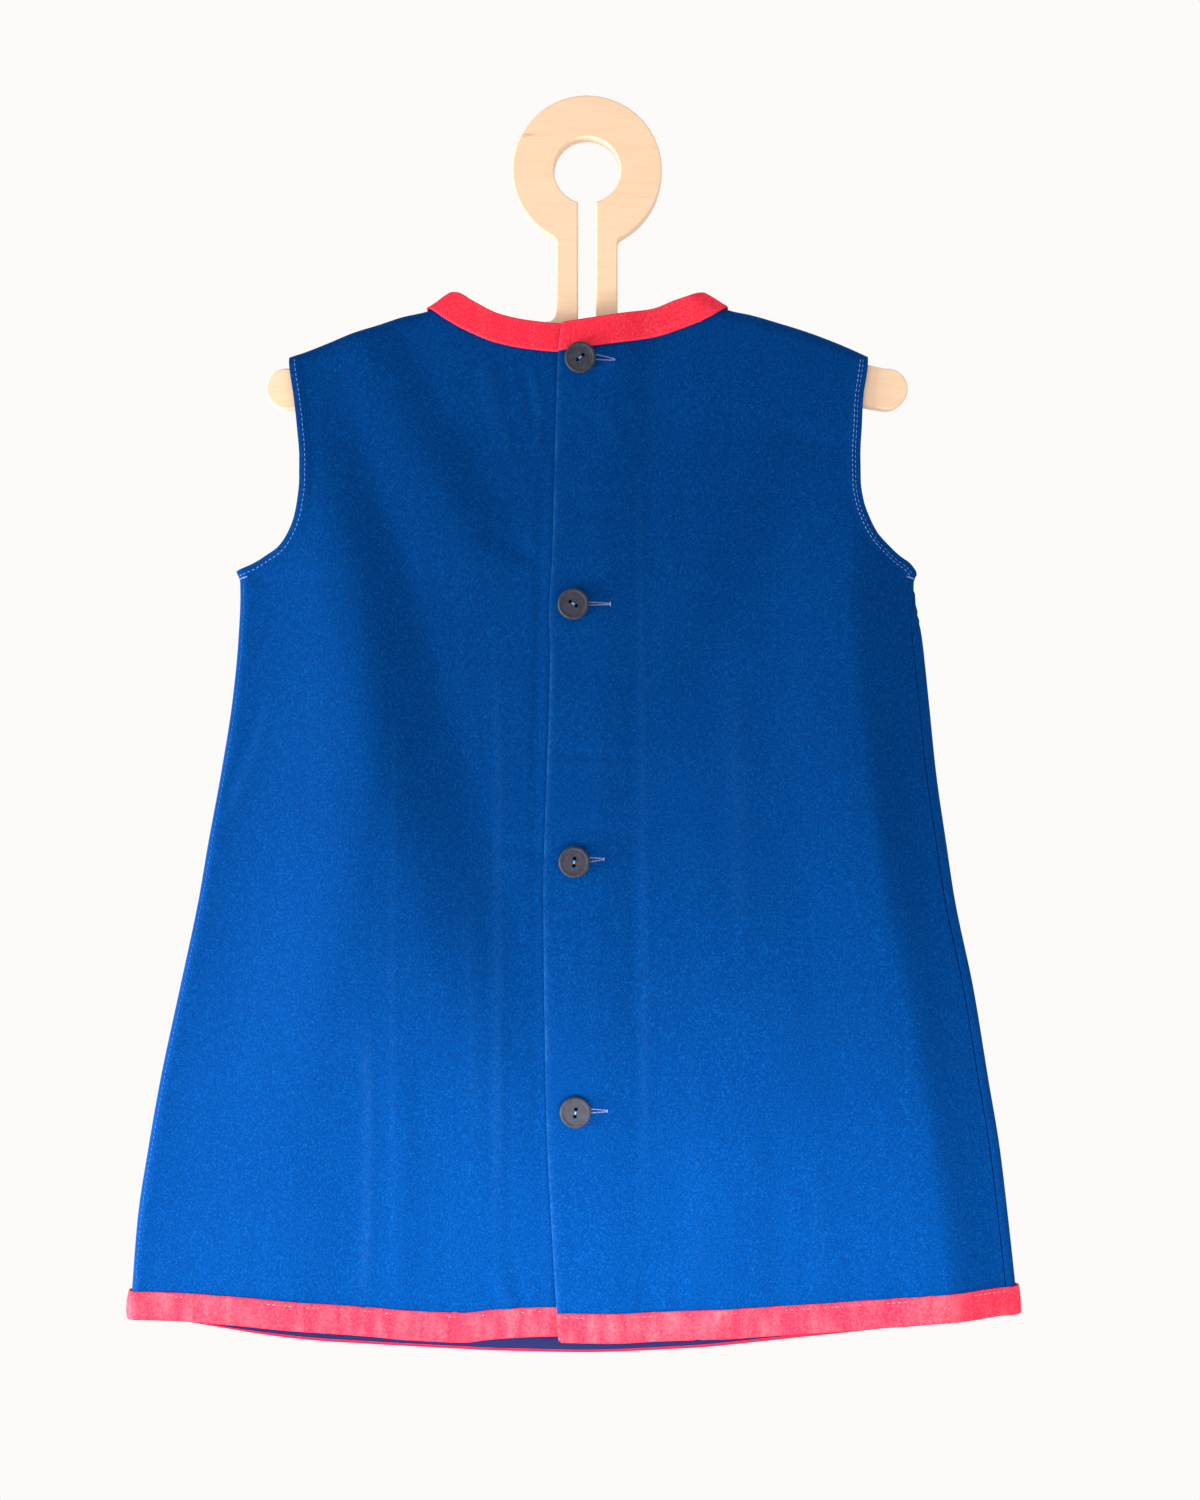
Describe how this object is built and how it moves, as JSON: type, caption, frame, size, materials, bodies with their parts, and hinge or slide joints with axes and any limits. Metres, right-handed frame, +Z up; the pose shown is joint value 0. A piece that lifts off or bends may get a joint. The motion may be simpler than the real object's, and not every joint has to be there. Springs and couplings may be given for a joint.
{
  "type": "child's sleeveless dress on a wooden hanger",
  "caption": "Sleeveless A-line cotton dress with a contrast band at neck and hem, buttoned down its back, hung flat on a plywood hanger with a keyhole cut-out.",
  "frame": {"origin": "top of the hole in the hanger's head, in the hanger's middle plane, where a nail or peg holds it", "axes": "+Z up; the dress's buttoned back faces -Y and its plain front faces +Y; +X to the right when looking at the buttoned back"},
  "size_m": [0.4483, 0.0324, 0.631],
  "materials": {
    "navy_twill": "matte cotton twill",
    "red_cotton": "matte woven cotton",
    "black_plastic": "matte",
    "birch_plywood": "smooth, clear coated"
  },
  "bodies": {
    "root": {"back_left": "navy_twill", "back_right": "navy_twill", "front": "navy_twill", "neck_band": "red_cotton", "hem_band": "red_cotton", "button_1": "black_plastic", "button_2": "black_plastic", "button_3": "black_plastic", "button_4": "black_plastic", "hanger": "birch_plywood"}
  },
  "joints": []
}
